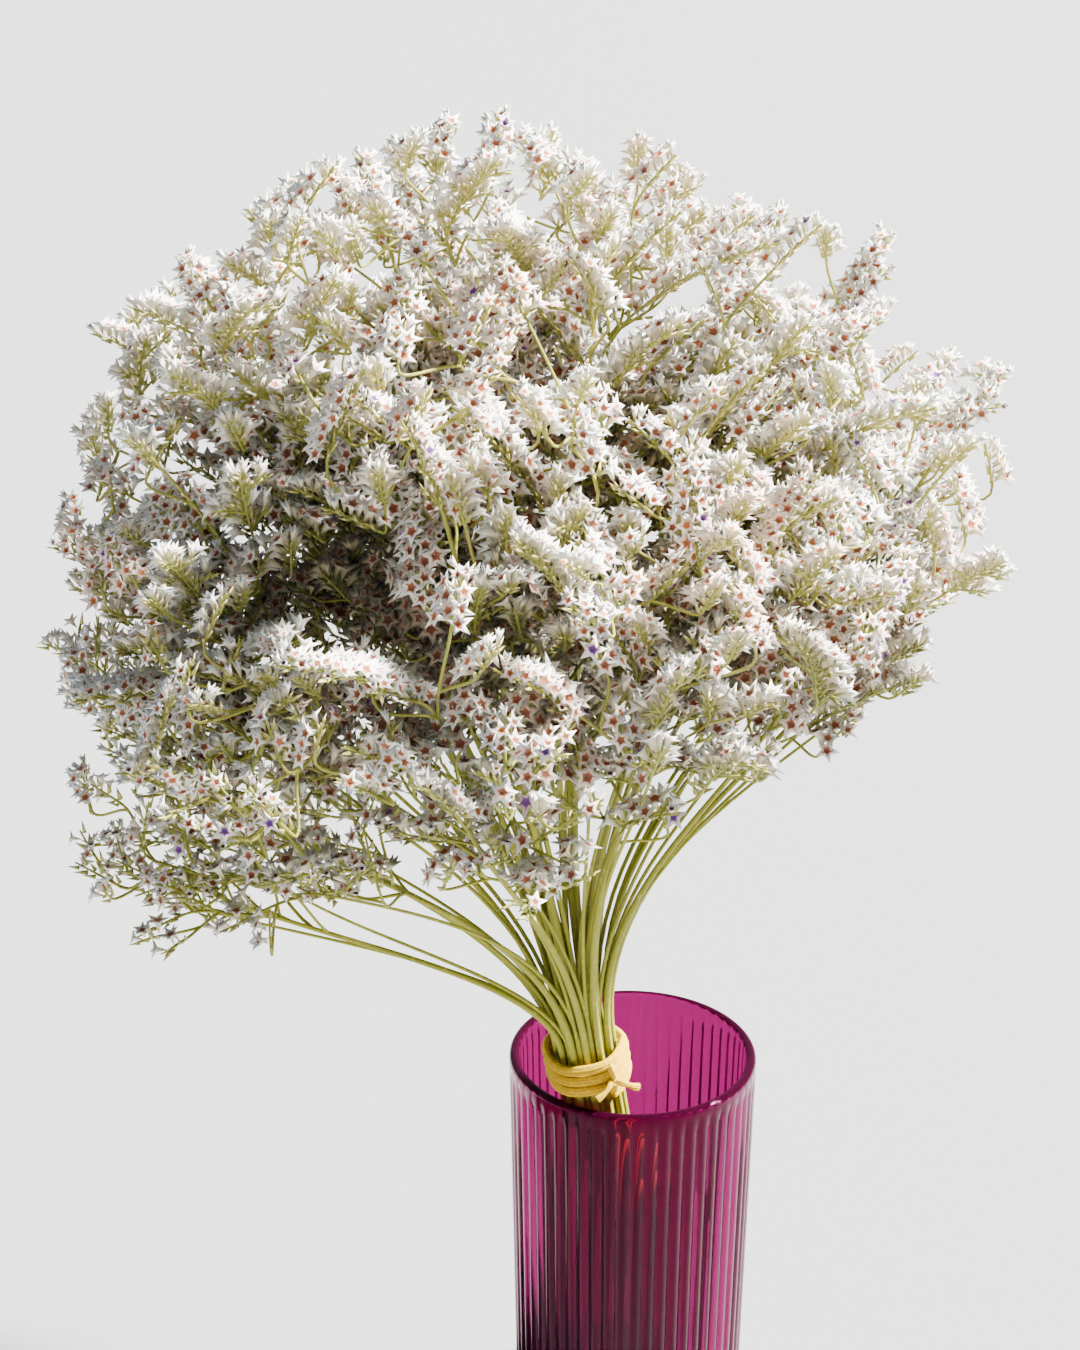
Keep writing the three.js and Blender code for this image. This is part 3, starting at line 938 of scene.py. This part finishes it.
def floret_shape(form):
    """A calyx: a funnel from a point at its foot, with a limb of five pointed lobes round a pit."""
    height, tip, throat = FLORET.height, form["tip"], form["throat"]
    neck, lobes = FLORET.neck, FLORET.lobes
    middle = tip * math.cos(math.pi / lobes)

    def on_limb(p, radius):
        return p.z > (height - NEAR) * MM and abs(math.hypot(p.x, p.y) - radius * MM) < NEAR * MM

    obj = add_cone(lobes, 0, tip, 0, height)
    bpy.ops.mesh.bisect(plane_co=(0, 0, neck * MM), plane_no=(0, 0, 1))
    pick(obj, lambda p: abs(p.z - neck * MM) < NEAR * MM)
    widen(FLORET.neck_radius / (tip * neck / height))
    pick(obj, lambda p: p.z > (height - NEAR) * MM, "FACE")
    bpy.ops.mesh.inset(thickness=(tip - throat) * math.cos(math.pi / lobes) * MM)
    bpy.ops.mesh.poke()
    pick(obj, lambda p: on_limb(p, tip), "EDGE")
    bpy.ops.mesh.subdivide(number_cuts=1)
    pick(obj, lambda p: on_limb(p, middle))
    widen(form["notch"] / middle)
    shift(z=form["rise"] * form["notch"] / tip - FLORET.notch_drop)
    pick(obj, lambda p: on_limb(p, tip))
    shift(z=form["rise"])
    pick(obj, lambda p: on_limb(p, throat) or on_limb(p, 0))
    shift(z=-FLORET.throat_drop)
    pick(obj, lambda p: p.z > (neck + NEAR) * MM and math.hypot(p.x, p.y) < NEAR * MM)
    shift(z=-FLORET.pit)

    def marks(p):
        radius = math.hypot(p[0], p[1])
        if p[2] < NEAR:
            return 0.0, 1.0
        if abs(p[2] - neck) < NEAR and radius > NEAR:
            return 0.0, FLORET.neck_mark
        if radius < NEAR:
            return 1.0, 0.0
        in_throat = radius < throat + NEAR and abs(p[2] - height + FLORET.throat_drop) < NEAR
        return (FLORET.throat_mark if in_throat else 0.0), 0.0

    return shape_of(obj, marks)


def bract_shape():
    """A slim pointed scale, keeled on its back and widest near its foot."""
    foot, tip, radius = SCALE.foot, SCALE.tip, SCALE.radius
    obj = add_cone(4, radius, 0, foot, tip)
    pick(obj, lambda p: p.z < (foot + NEAR) * MM, "FACE")
    bpy.ops.mesh.poke(offset=-foot * MM)
    pick(obj, lambda p: p.y > radius / 2 * MM)
    shift(y=-SCALE.flatten)
    pick(obj, lambda p: p.z > (tip - NEAR) * MM)
    shift(y=SCALE.bend)
    return shape_of(obj, lambda p: (max(0.0, (p[2] - foot) / (tip - foot)), 0.0))


def mesh_of_copies(name, shapes_and_places):
    """One mesh that holds every copy of the shapes, each where and as its place says."""
    points, faces, marks = [], [], []
    total = 0
    for shape, places in shapes_and_places:
        if not places:
            continue
        feet = np.array([p[0] for p in places])
        axes = np.array([p[1] for p in places])
        tints = np.array([[p[2], p[3]] for p in places])
        count, each = len(places), len(shape["points"])
        points.append((np.einsum("cij,pj->cpi", axes, shape["points"]) + feet[:, None]).reshape(-1, 3))
        offsets = total + np.arange(count)[:, None, None] * each
        faces.append((shape["faces"][None] + offsets).reshape(-1, 3))
        own = np.broadcast_to(shape["marks"][None], (count, each, 2))
        tint = np.broadcast_to(tints[:, None], (count, each, 2))
        marks.append(np.concatenate([own, tint], axis=2).reshape(-1, 4))
        total += count * each
    points, faces, marks = np.vstack(points), np.vstack(faces), np.vstack(marks)
    mesh = bpy.data.meshes.new(name)
    mesh.vertices.add(len(points))
    mesh.vertices.foreach_set("co", (points * MM).astype(np.float32).ravel())
    mesh.loops.add(faces.size)
    mesh.loops.foreach_set("vertex_index", faces.astype(np.int32).ravel())
    mesh.polygons.add(len(faces))
    mesh.polygons.foreach_set("loop_start", np.arange(len(faces), dtype=np.int32) * 3)
    mesh.update(calc_edges=True)
    layer = mesh.attributes.new("marks", "FLOAT_COLOR", "POINT")
    layer.data.foreach_set("color", marks.astype(np.float32).ravel())
    obj = bpy.data.objects.new(name, mesh)
    bpy.context.collection.objects.link(obj)
    return obj


def section_of(name, points):
    """A closed outline in millimetres, for sweeping along lines."""
    curve = bpy.data.curves.new(name, "CURVE")
    curve.dimensions = "2D"
    spline = curve.splines.new("POLY")
    spline.points.add(len(points) - 1)
    for point, (x, y) in zip(spline.points, points):
        point.co = (x * MM, y * MM, 0, 1)
    spline.use_cyclic_u = True
    obj = bpy.data.objects.new(name, curve)
    bpy.context.collection.objects.link(obj)
    return obj


def stalk_section():
    """The angular section that all stalks share, one millimetre in radius."""
    angles = [2 * math.pi * i / STALK.corners for i in range(STALK.corners)]
    return section_of("stalk_section", [(math.cos(angle), math.sin(angle)) for angle in angles])


def swept(name, lines, section, twist="MINIMUM"):
    """One mesh of a section swept along lines of points with their radii, closed at the ends."""
    curve = bpy.data.curves.new(name, "CURVE")
    curve.dimensions = "3D"
    curve.twist_mode = twist
    curve.bevel_mode = "OBJECT"
    curve.bevel_object = section
    curve.use_fill_caps = True
    for points, radii in lines:
        spline = curve.splines.new("POLY")
        spline.points.add(len(points) - 1)
        places = np.hstack([np.array(points) * MM, np.ones((len(points), 1))])
        spline.points.foreach_set("co", places.ravel())
        spline.points.foreach_set("radius", radii)
    obj = bpy.data.objects.new(name, curve)
    bpy.context.collection.objects.link(obj)
    select_only(obj)
    bpy.ops.object.convert(target="MESH")
    return bpy.context.object


VASE_LOOK = Values(
    columns_per_rib=8,
    foot_steps=3,
    rib_levels=(0.03, 0.25, 0.5, 0.75, 0.97, 1),
    rim_steps=10,
    floor_steps=4,
    floor_ring=0.5,
    smooth=30,
)


def ring_step(radius, height, old_radius, old_height):
    """Extrudes the chosen ring to a new radius and height."""
    rise = (height - old_height) * MM
    bpy.ops.mesh.extrude_edges_move(TRANSFORM_OT_translate={"value": (0, 0, rise)})
    widen(radius / old_radius, height)


def outer_profile():
    """Radius and height up the outside of the vase and over the rounded rim, from the foot's edge."""
    foot, rim, height = VASE.foot_radius, VASE.rim_radius, VASE.height
    bevel = VASE.foot_bevel
    points = []
    for angle in np.linspace(0, math.pi / 2, VASE_LOOK.foot_steps + 1):
        points.append((foot - bevel + bevel * math.sin(angle), bevel - bevel * math.cos(angle)))
    rib_top = height - VASE.lip
    for share in VASE_LOOK.rib_levels:
        points.append((foot + (rim - foot) * share, bevel + (rib_top - bevel) * share))
    middle, half = rim - VASE.wall / 2, VASE.wall / 2
    for angle in np.linspace(0, math.pi, VASE_LOOK.rim_steps + 1):
        points.append((middle + half * math.cos(angle), height - half + half * math.sin(angle)))
    return points


def inner_profile():
    """Radius and height down the inside and along the floor to near its middle."""
    inner_foot = VASE.foot_radius - VASE.wall
    heel, floor, rise = VASE.heel, VASE.floor, VASE.heel_height
    points = []
    for angle in np.linspace(0, math.pi / 2, VASE_LOOK.floor_steps + 1):
        across = inner_foot - heel + heel * math.cos(angle)
        points.append((across, floor + rise - rise * math.sin(angle)))
    points.append((inner_foot * VASE_LOOK.floor_ring, floor))
    return points


def make_vase():
    """The glass, raised ring by ring: ribbed outside below a plain lip, smooth inside."""
    each = VASE_LOOK.columns_per_rib
    count = VASE.ribs * each
    outside, inside = outer_profile(), inner_profile()
    deselect_all()
    radius, height = outside[0]
    bpy.ops.mesh.primitive_circle_add(
        vertices=count,
        radius=radius * MM,
        fill_type="NOTHING",
        location=(0, 0, 0),
    )
    obj = bpy.context.object
    obj.name = "glass_vase"
    bpy.ops.object.mode_set(mode="EDIT")
    bpy.ops.mesh.select_all(action="SELECT")
    for new_radius, new_height in [*outside[1:], *inside]:
        ring_step(new_radius, new_height, radius, height)
        radius, height = new_radius, new_height
    bpy.ops.mesh.edge_face_add()
    bpy.ops.mesh.poke()
    pick(obj, lambda p: p.z < NEAR * MM)
    bpy.ops.mesh.edge_face_add()
    bpy.ops.mesh.poke()
    rib_top = VASE.height - VASE.lip
    ribbed = [p for p in outside if NEAR < p[1] < rib_top - NEAR]
    for ring_radius, ring_height in ribbed:
        for k in range(1, each // 2 + 1):
            dip = VASE.rib_depth * (1 - abs(math.cos(math.pi * k / each)))

            def in_class(p):
                column = math.atan2(p.y, p.x) / (2 * math.pi) * count
                near = round(column) % each
                outer = math.hypot(p.x, p.y) > (ring_radius - VASE.wall / 2) * MM
                level = abs(p.z - ring_height * MM) < NEAR * MM
                return level and outer and min(near, each - near) == k

            pick(obj, in_class)
            widen(1 - dip / ring_radius, ring_height)
    finish_edit()
    select_only(obj)
    bpy.ops.object.shade_smooth_by_angle(angle=math.radians(VASE_LOOK.smooth))
    return obj


RAFFIA = Values(
    turns=3.15,
    ridges=4,
    ridge_points=4,
    ripple=0.14,
    width=3.4,
    thickness=2.2,
    steps=34,
    slack=0.15,
    overlap=0.15,
    level=0.08,
    waves=5,
    wave=0.25,
    back=(0.6, 0.8),
    smooth=50,
)
# The knot's loop stands over the strand, and its two short ends spread to either side and droop.
LOOP = Values(points=15, spread=1.1, sunk=1.2, bow=2.0, half_height=4.6, slim=0.72, swell=0.25)
TAIL = Values(points=9, length=9, lift=0.6, bow=1.6, curl=2.2, slope=0.75, slim=0.62, swell=0.12)
TAIL_WAYS = ((1, -1), (-1, -0.35))


def raffia_section():
    """The flat, ridged section of the tie's strand."""
    points = []
    count = RAFFIA.ridges * RAFFIA.ridge_points
    half, deep = RAFFIA.width / 2, RAFFIA.thickness / 2
    for i in range(count + 1):
        y = -half + RAFFIA.width * i / count
        bow = math.sqrt(max(0.0, 1 - (y / half) ** 2))
        ripple = RAFFIA.ripple * math.cos(2 * math.pi * RAFFIA.ridges * i / count)
        points.append((deep * bow + ripple * bow, y))
    back, side = deep * RAFFIA.back[0], half * RAFFIA.back[1]
    points += [(-back, side), (-deep, 0), (-back, -side)]
    return section_of("raffia_section", points)


def winding():
    """The strand's line round the stems, in the bundle's frame, and its even radii."""
    middle = TIE_INNER + RAFFIA.thickness / 2 + RAFFIA.slack
    climb = RAFFIA.turns - RAFFIA.overlap
    height = TIE.height - RAFFIA.width
    points = []
    for turn in np.linspace(0, RAFFIA.turns, int(RAFFIA.steps * RAFFIA.turns) + 1):
        angle = KNOT.turn + 2 * math.pi * turn
        radius = middle + RAFFIA.wave * math.sin(RAFFIA.waves * angle)
        up = -height / 2 + height / climb * min(max(turn - RAFFIA.level, 0), climb)
        points.append((radius * math.cos(angle), radius * math.sin(angle), up))
    return points, [1.0] * len(points)


def knot_lines():
    """The lines and radii of the knot's loop and its two ends."""
    outward = np.array([math.cos(KNOT.turn), math.sin(KNOT.turn), 0])
    sideways = np.array([-outward[1], outward[0], 0])
    outer = TIE_OUTER + KNOT.stand
    loop, radii = [], []
    for far in np.linspace(-1, 1, LOOP.points):
        angle = math.pi / 2 * far * LOOP.spread
        reach = outer - LOOP.sunk + LOOP.bow * math.cos(angle)
        loop.append(outward * reach + UP * (KNOT.height + LOOP.half_height * math.sin(angle)))
        radii.append(LOOP.slim + LOOP.swell * abs(far))
    lines = [(loop, radii)]
    for side, drop in TAIL_WAYS:
        tail, radii = [], []
        for i, far in enumerate(np.linspace(0, 1, TAIL.points)):
            reach = outer + TAIL.lift + TAIL.bow * math.sin(far * TAIL.curl)
            slip = TAIL.length * TAIL.slope * far
            tail.append(outward * reach + sideways * (side * slip) + UP * (KNOT.height + drop * slip))
            radii.append(TAIL.slim + TAIL.swell * math.sin(i))
        lines.append((tail, radii))
    return lines


def make_tie():
    """A flat strand wound three times round the stems, and its knot with two short ends."""
    section = raffia_section()
    obj = swept("tie_strand", [winding(), *knot_lines()], section, "Z_UP")
    bpy.data.objects.remove(section)
    place = RIM_MIDDLE + AXIS * TIE_MIDDLE
    points = np.array([v.co[:] for v in obj.data.vertices])
    moved = points @ np.array([ACROSS, ASIDE, AXIS]) + place * MM
    obj.data.vertices.foreach_set("co", moved.astype(np.float32).ravel())
    finish_edit()
    select_only(obj)
    bpy.ops.object.shade_smooth_by_angle(angle=math.radians(RAFFIA.smooth))
    return obj


class Reading:
    """A socket whose sums are written as Python expressions."""

    def __init__(self, finish, socket):
        self.finish, self.socket = finish, socket

    def _math(self, operation, first, second):
        return self.finish.node("ShaderNodeMath", {"operation": operation}, {0: first, 1: second})

    def __add__(self, other):
        return self._math("ADD", self, other)

    __radd__ = __add__

    def __mul__(self, other):
        return self._math("MULTIPLY", self, other)

    __rmul__ = __mul__

    def __sub__(self, other):
        return self._math("SUBTRACT", self, other)

    def __rsub__(self, other):
        return self._math("SUBTRACT", other, self)


class Finish:
    """A material with one Principled surface."""

    def __init__(self, name, **surface):
        self.material = bpy.data.materials.new(name)
        self.material.use_nodes = True
        self.tree = self.material.node_tree
        self.surface = next(n for n in self.tree.nodes if n.type == "BSDF_PRINCIPLED")
        for key, value in surface.items():
            self.surface.inputs[key.replace("_", " ")].default_value = value

    def node(self, kind, settings=None, values=None, out=0):
        """Any node, its settings made first, then the values or links of its inputs."""
        node = self.tree.nodes.new(kind)
        for key, value in (settings or {}).items():
            setattr(node, key, value)
        for key, value in (values or {}).items():
            self.feed(node.inputs[key], value)
        return Reading(self, node.outputs[out])

    def feed(self, socket, value):
        if isinstance(value, Reading):
            self.tree.links.new(value.socket, socket)
        elif isinstance(value, tuple) and len(value) == 3 and socket.type == "RGBA":
            socket.default_value = (*value, 1)
        else:
            socket.default_value = value

    def place(self):
        return self.node("ShaderNodeTexCoord", out="Object")

    def noise(self, scale, detail=3.0):
        values = {"Vector": self.place(), "Scale": scale, "Detail": detail}
        return self.node("ShaderNodeTexNoise", None, values, "Fac")

    def mix(self, share, first, second):
        settings = {"data_type": "RGBA", "clamp_factor": True}
        return self.node("ShaderNodeMix", settings, {0: share, 6: first, 7: second}, 2)

    def marks(self):
        """The mesh's marks: throat, tube, random tone times painted light, and kind."""
        node = self.tree.nodes.new("ShaderNodeAttribute")
        node.attribute_name = "marks"
        split = self.tree.nodes.new("ShaderNodeSeparateColor")
        self.tree.links.new(node.outputs["Color"], split.inputs[0])
        three = [Reading(self, split.outputs[i]) for i in range(3)]
        return [*three, Reading(self, node.outputs["Alpha"])]

    def step(self, value, low, high):
        """0 below low, 1 above high, smooth between."""
        settings = {"interpolation_type": "SMOOTHSTEP"}
        values = {"Value": value, "From Min": low, "From Max": high}
        return self.node("ShaderNodeMapRange", settings, values)

    def paint(self, colour, roughness):
        self.feed(self.surface.inputs["Base Color"], colour)
        self.feed(self.surface.inputs["Roughness"], roughness)

    def bump(self, height, strength, distance):
        values = {"Height": height, "Strength": strength, "Distance": distance}
        self.feed(self.surface.inputs["Normal"], self.node("ShaderNodeBump", None, values))


def floret_finish():
    """Papery calyces: white limbs, red-brown or violet throats, straw and green at the foot; limbs and
    red-brown throats darker under a painted shade deep in the crown.
    """
    finish = Finish("papery_calyx")
    throat, tube, tone_and_shade, kind = finish.marks()
    patch = finish.noise(22)
    streak = finish.noise(1500, 2.0)
    # Painted shade: as the tone and painted light mark falls, the limbs go from white to a duller
    # white and then to this dark brown-grey.
    painted_shade_colour = (0.13, 0.11, 0.06)
    white = finish.mix(finish.step(tone_and_shade, 0.3, 1.0), (0.81, 0.83, 0.80), (0.93, 0.96, 0.97))
    white = finish.mix(finish.step(tone_and_shade, 0.0, 0.35), painted_shade_colour, white)
    aged = finish.step(patch + tone_and_shade * 0.2, 0.60, 0.76)
    white = finish.mix(aged * 0.6, white, (0.80, 0.62, 0.50))
    # The throat's red-brown is darker where the random tone is low and under the painted shade.
    brown = finish.mix(tone_and_shade, (0.12, 0.03, 0.01), (0.48, 0.14, 0.04))
    centre = finish.mix(finish.step(kind, 0.955, 0.96), brown, (0.13, 0.03, 0.22))
    blush = finish.mix(finish.step(throat, 0.08, 0.55) * 0.55, white, (0.72, 0.38, 0.24))
    ragged = throat + (streak - 0.5) * 0.5
    limb = finish.mix(finish.step(ragged, 0.4, 0.68), blush, centre)
    straw = finish.mix(finish.step(tube, 0.0, 0.45) * 0.6, limb, (0.70, 0.58, 0.34))
    colour = finish.mix(finish.step(tube, 0.5, 1.0), straw, (0.42, 0.42, 0.14))
    finish.paint(colour, 0.5 + finish.noise(900) * 0.3)
    finish.bump(finish.noise(1400, 2.0), 0.35, 0.0002)
    return finish.material


def stalk_finish():
    """Dry stalks with fine marks, olive below the crown and paler within it."""
    finish = Finish("green_stalk", Specular_IOR_Level=0.3)
    patch = finish.noise(35)
    fine = finish.noise(500)
    height = finish.node("ShaderNodeSeparateXYZ", None, {0: finish.place()}, 2)
    high = finish.step(height, 0.20, 0.28)
    olive = finish.mix(high, (0.42, 0.38, 0.03), (0.42, 0.395, 0.075))
    pale = finish.mix(high, (0.58, 0.51, 0.07), (0.58, 0.53, 0.16))
    green = finish.mix(patch, (0.14, 0.16, 0.014), olive)
    colour = finish.mix(finish.step(fine, 0.55, 0.75) * 0.6, green, pale)
    finish.paint(colour, 0.45 + fine * 0.3)
    finish.bump(fine, 0.4, 0.0002)
    return finish.material


def bract_finish():
    """Yellow-green scales with pale papery tips, darker under a painted shade deep in the crown."""
    finish = Finish("scale_bract")
    tip, _, tone_and_shade, _ = finish.marks()
    # The green goes darker where the random tone is low and under the painted shade.
    green = finish.mix(tone_and_shade, (0.28, 0.30, 0.05), (0.60, 0.58, 0.19))
    brown_edge = finish.mix(finish.step(tip, 0.35, 0.7) * 0.6, green, (0.66, 0.44, 0.24))
    papery = finish.mix(finish.step(tip, 0.7, 1.0) * 0.7, brown_edge, (0.86, 0.74, 0.62))
    # Painted shade: scales deep in the crown turn dark olive.
    colour = finish.mix(finish.step(tone_and_shade, 0.0, 0.35), (0.10, 0.11, 0.025), papery)
    finish.paint(colour, 0.45 + finish.noise(700) * 0.3)
    finish.bump(finish.noise(1200), 0.3, 0.0002)
    return finish.material


def glass_finish():
    """Glass coloured through, a deep magenta where two walls lie behind each other."""
    finish = Finish(
        "magenta_glass",
        Base_Color=(0.21, 0.006, 0.085, 1),
        Roughness=0.02,
        Transmission_Weight=0.94,
        IOR=1.45,
        Specular_Tint=(0.32, 0.03, 0.12, 1),
    )
    finish.bump(finish.noise(55, 2.0), 0.15, 0.0006)
    return finish.material


def tie_finish():
    """Yellow straw raffia with long fibres."""
    finish = Finish("straw_raffia", Specular_IOR_Level=0.15)
    fibre = finish.noise(900, 2.0)
    patch = finish.noise(120)
    straw = finish.mix(patch, (0.42, 0.225, 0.002), (0.66, 0.40, 0.005))
    colour = finish.mix(finish.step(fibre, 0.52, 0.7) * 0.5, straw, (0.80, 0.56, 0.02))
    finish.paint(colour, 0.55 + fibre * 0.25)
    finish.bump(fibre, 0.5, 0.0003)
    return finish.material


# The floor's size and how far it lies below the vase's foot, in metres.
FLOOR = Values(size=30, below=0.0002, colour=(0.25, 0.259, 0.273), roughness=0.9)


def floor_finish():
    colour = (*FLOOR.colour, 1)
    return Finish("pale_floor", Base_Color=colour, Roughness=FLOOR.roughness).material


def make_camera():
    x, y, z = CAMERA.place
    bpy.ops.object.camera_add(
        location=(x * MM, y * MM, z * MM),
        rotation=(math.radians(90 - CAMERA.down), 0, 0),
    )
    camera = bpy.context.object
    camera.data.lens = CAMERA.lens
    camera.data.sensor_width = CAMERA.sensor
    bpy.context.scene.camera = camera


# The light shines from its place, in metres, towards the vase.
SUN = Values(place=(1.0, 0.2, 1.18), power=45, angle=8, colour=(1.0, 0.97, 0.90))
SKY = Values(colour=(0.70, 0.84, 1.0), strength=0.38)


def make_studio():
    """A plain pale floor under a soft warm light from the upper right and a cool pale sky."""
    deselect_all()
    bpy.ops.mesh.primitive_plane_add(size=FLOOR.size, location=(0, 0, -FLOOR.below))
    floor = bpy.context.object
    floor.name = "floor"
    floor.data.materials.append(floor_finish())
    toward = -unit(np.array(SUN.place))
    lean = math.acos(-toward[2])
    turn = math.atan2(toward[1], toward[0]) - math.pi / 2
    bpy.ops.object.light_add(type="SUN", location=SUN.place, rotation=(lean, 0, turn))
    lamp = bpy.context.object.data
    lamp.energy = SUN.power
    lamp.angle = math.radians(SUN.angle)
    lamp.color = SUN.colour
    world = bpy.data.worlds.new("studio")
    bpy.context.scene.world = world
    world.use_nodes = True
    back = world.node_tree.nodes["Background"]
    back.inputs["Color"].default_value = (*SKY.colour, 1)
    back.inputs["Strength"].default_value = SKY.strength


def wear(obj, node, material):
    """Gives a piece its finish, hangs it on the root body and hides the part it stands for."""
    obj.data.materials.append(material)
    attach(obj, "root")
    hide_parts(node)


def make_spray(number, spray, shapes, section, finishes):
    """One spray: its florets, its bracts and its stalks, each in one piece."""
    name = f"spray_{number:02d}"
    florets = mesh_of_copies(name + "_florets", list(zip(shapes["florets"], spray.florets)))
    wear(florets, name, finishes["floret"])
    bracts = mesh_of_copies(name + "_bracts", [(shapes["bract"], spray.bracts)])
    wear(bracts, name, finishes["bract"])
    stalks = swept(name + "_stalks", spray.stalks, section)
    finish_edit()
    wear(stalks, name, finishes["stalk"])


make_camera()
make_studio()
stems = plant_stems()
sprays = grow_crown(stems)
fill_crown(stems, sprays, comb_crown(sprays))
dressed = dress_sprays(stems, sprays)
finishes = {"floret": floret_finish(), "bract": bract_finish(), "stalk": stalk_finish()}
shapes = {"florets": [floret_shape(form) for form in FLORET_SHAPES], "bract": bract_shape()}
section = stalk_section()
for i, spray in enumerate(dressed):
    make_spray(i + 1, spray, shapes, section, finishes)
bpy.data.objects.remove(section)
wear(make_vase(), "vase", glass_finish())
wear(make_tie(), "tie", tie_finish())
